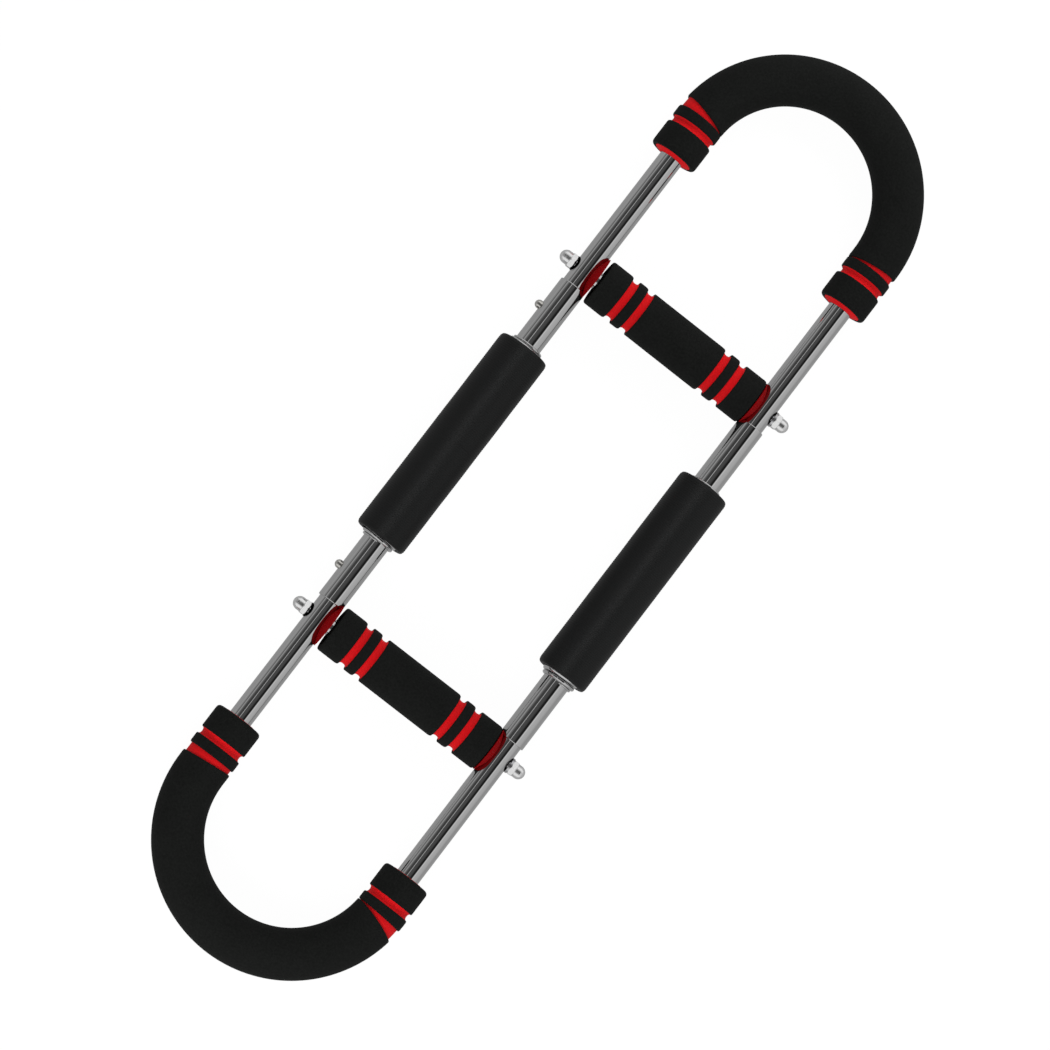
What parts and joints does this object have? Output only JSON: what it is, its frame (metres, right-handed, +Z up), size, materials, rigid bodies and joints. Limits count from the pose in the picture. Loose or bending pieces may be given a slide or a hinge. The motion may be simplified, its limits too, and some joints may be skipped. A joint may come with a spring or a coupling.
{
  "type": "spring bending bar",
  "caption": "Two-handed bending bar: U-shaped chrome handles with foam grips and bolted crossbars, joined by two parallel foam-sleeved coil springs that flex together.",
  "frame": {"origin": "middle of the bar, on the surface that it lies on", "axes": "+Y along the bar to the far handle, +X across the two legs to the right, +Z up from the surface that it lies on"},
  "size_m": [0.2542, 0.962, 0.0497],
  "materials": {
    "chrome_tube": "polished",
    "chrome_spring": "polished",
    "chrome_nut": "polished",
    "zinc_steel": "satin",
    "nickel_steel": "satin",
    "spring_steel": "satin",
    "black_washer": "matte",
    "black_foam": "matte",
    "sleeve_foam": "matte",
    "red_foam": "matte",
    "saddle_plastic": "satin"
  },
  "bodies": {
    "middle": {"left_spring": "chrome_spring", "left_sleeve": "sleeve_foam", "left_sleeve_core": "red_foam", "right_spring": "chrome_spring", "right_sleeve": "sleeve_foam", "right_sleeve_core": "red_foam"},
    "near_half": {"near_u_tube": "chrome_tube", "near_u_grip_core": "red_foam", "near_u_grip": "black_foam", "near_u_grip_rings": "black_foam", "near_u_grip_cuffs": "black_foam", "near_crossbar_tube": "chrome_tube", "near_crossbar_core": "red_foam", "near_crossbar_grip": "black_foam", "near_crossbar_rings": "black_foam", "near_crossbar_cuffs": "black_foam", "near_saddle_washers": "saddle_plastic", "near_through_rod": "zinc_steel", "near_acorn_nuts": "chrome_nut", "near_flat_washer": "black_washer", "near_lock_washer": "zinc_steel", "near_button_spring": "spring_steel", "left_near_socket": "chrome_tube", "right_near_socket": "chrome_tube"},
    "near_button": {"near_snap_button": "nickel_steel"},
    "far_half": {"far_u_tube": "chrome_tube", "far_u_grip_core": "red_foam", "far_u_grip": "black_foam", "far_u_grip_rings": "black_foam", "far_u_grip_cuffs": "black_foam", "far_crossbar_tube": "chrome_tube", "far_crossbar_core": "red_foam", "far_crossbar_grip": "black_foam", "far_crossbar_rings": "black_foam", "far_crossbar_cuffs": "black_foam", "far_saddle_washers": "saddle_plastic", "far_through_rod": "zinc_steel", "far_acorn_nuts": "chrome_nut", "far_flat_washer": "black_washer", "far_lock_washer": "zinc_steel", "far_button_spring": "spring_steel", "left_far_socket": "chrome_tube", "right_far_socket": "chrome_tube"},
    "far_button": {"far_snap_button": "nickel_steel"}
  },
  "joints": [
    {"name": "near_flex", "type": "hinge", "parent": "middle", "child": "near_half", "pos_m": [0, -0.044, 0.02485], "axis": [1, 0, 0], "range_deg": [-60, 0], "stiffness_Nm_per_rad": 120, "deforming": ["left_spring", "left_sleeve", "left_sleeve_core", "right_spring", "right_sleeve", "right_sleeve_core"]},
    {"name": "far_flex", "type": "hinge", "parent": "middle", "child": "far_half", "pos_m": [0, 0.044, 0.02485], "axis": [1, 0, 0], "range_deg": [0, 60], "stiffness_Nm_per_rad": 120},
    {"name": "near_button_press", "type": "slide", "parent": "near_half", "child": "near_button", "axis": [1, 0, 0], "range_m": [0, 0.0066], "stiffness_N_per_m": 900, "springref_m": -0.003, "deforming": ["near_button_spring"]},
    {"name": "far_button_press", "type": "slide", "parent": "far_half", "child": "far_button", "axis": [1, 0, 0], "range_m": [0, 0.0066], "stiffness_N_per_m": 900, "springref_m": -0.003, "deforming": ["far_button_spring"]}
  ],
  "couplings": [
    {"joint": "far_flex", "follows": "near_flex", "ratio": -1}
  ]
}
